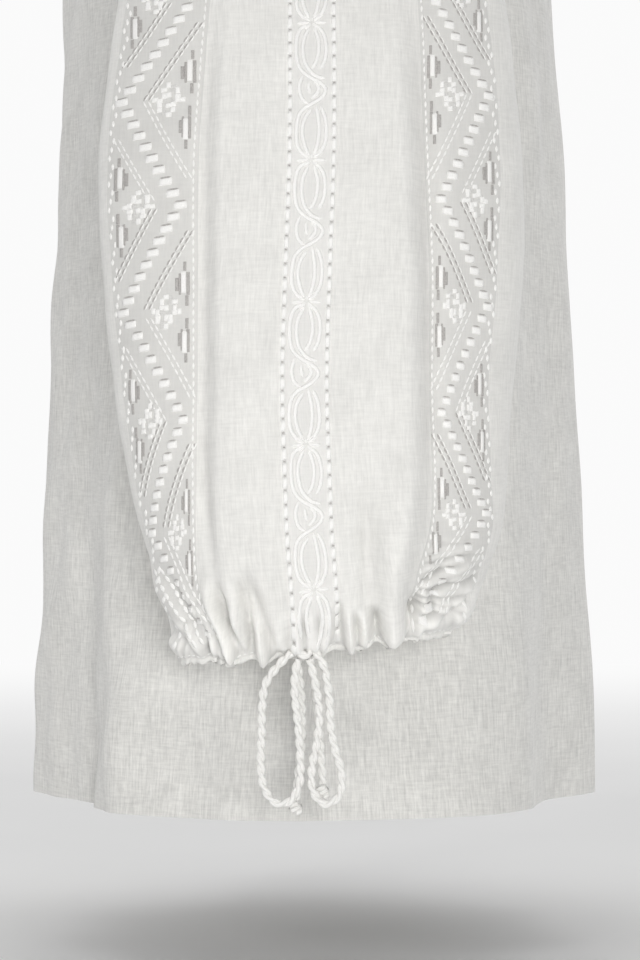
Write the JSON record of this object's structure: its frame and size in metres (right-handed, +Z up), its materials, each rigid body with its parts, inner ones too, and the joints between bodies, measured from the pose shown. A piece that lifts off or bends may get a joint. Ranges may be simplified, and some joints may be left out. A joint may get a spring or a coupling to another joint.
{
  "type": "peasant blouse",
  "caption": "White cotton voile peasant blouse with balloon raglan sleeves, white embroidered sleeve bands and drawstring cuffs.",
  "frame": {"origin": "middle of the neck opening, level with its two sides, where the wearer's neck and shoulders hold the blouse", "axes": "+Z up; the wearer faces -Y; +X is the wearer's left"},
  "size_m": [0.6668, 0.3183, 0.697],
  "materials": {
    "voile": "matt slubby plain-weave cotton voile, slightly sheer",
    "embroidered_band": "smooth fine cotton with white satin stitch and openwork",
    "centre_strip": "cotton with white chain embroidery between hemstitched seams",
    "cord": "soft two-ply twisted white cotton"
  },
  "bodies": {
    "root": {"front": "voile", "back": "voile", "neck_binding": "voile", "left_front_under": "voile", "left_front_band": "embroidered_band", "left_front_plain": "voile", "left_strip": "centre_strip", "left_back_plain": "voile", "left_back_band": "embroidered_band", "left_back_under": "voile", "left_casing": "voile", "left_bow_knot": "cord", "left_front_loop": "cord", "left_back_loop": "cord", "left_front_end": "cord", "left_back_end": "cord", "left_front_end_knot": "cord", "left_back_end_knot": "cord", "right_front_under": "voile", "right_front_band": "embroidered_band", "right_front_plain": "voile", "right_strip": "centre_strip", "right_back_plain": "voile", "right_back_band": "embroidered_band", "right_back_under": "voile", "right_casing": "voile", "right_bow_knot": "cord", "right_front_loop": "cord", "right_back_loop": "cord", "right_front_end": "cord", "right_back_end": "cord", "right_front_end_knot": "cord", "right_back_end_knot": "cord"}
  },
  "joints": []
}
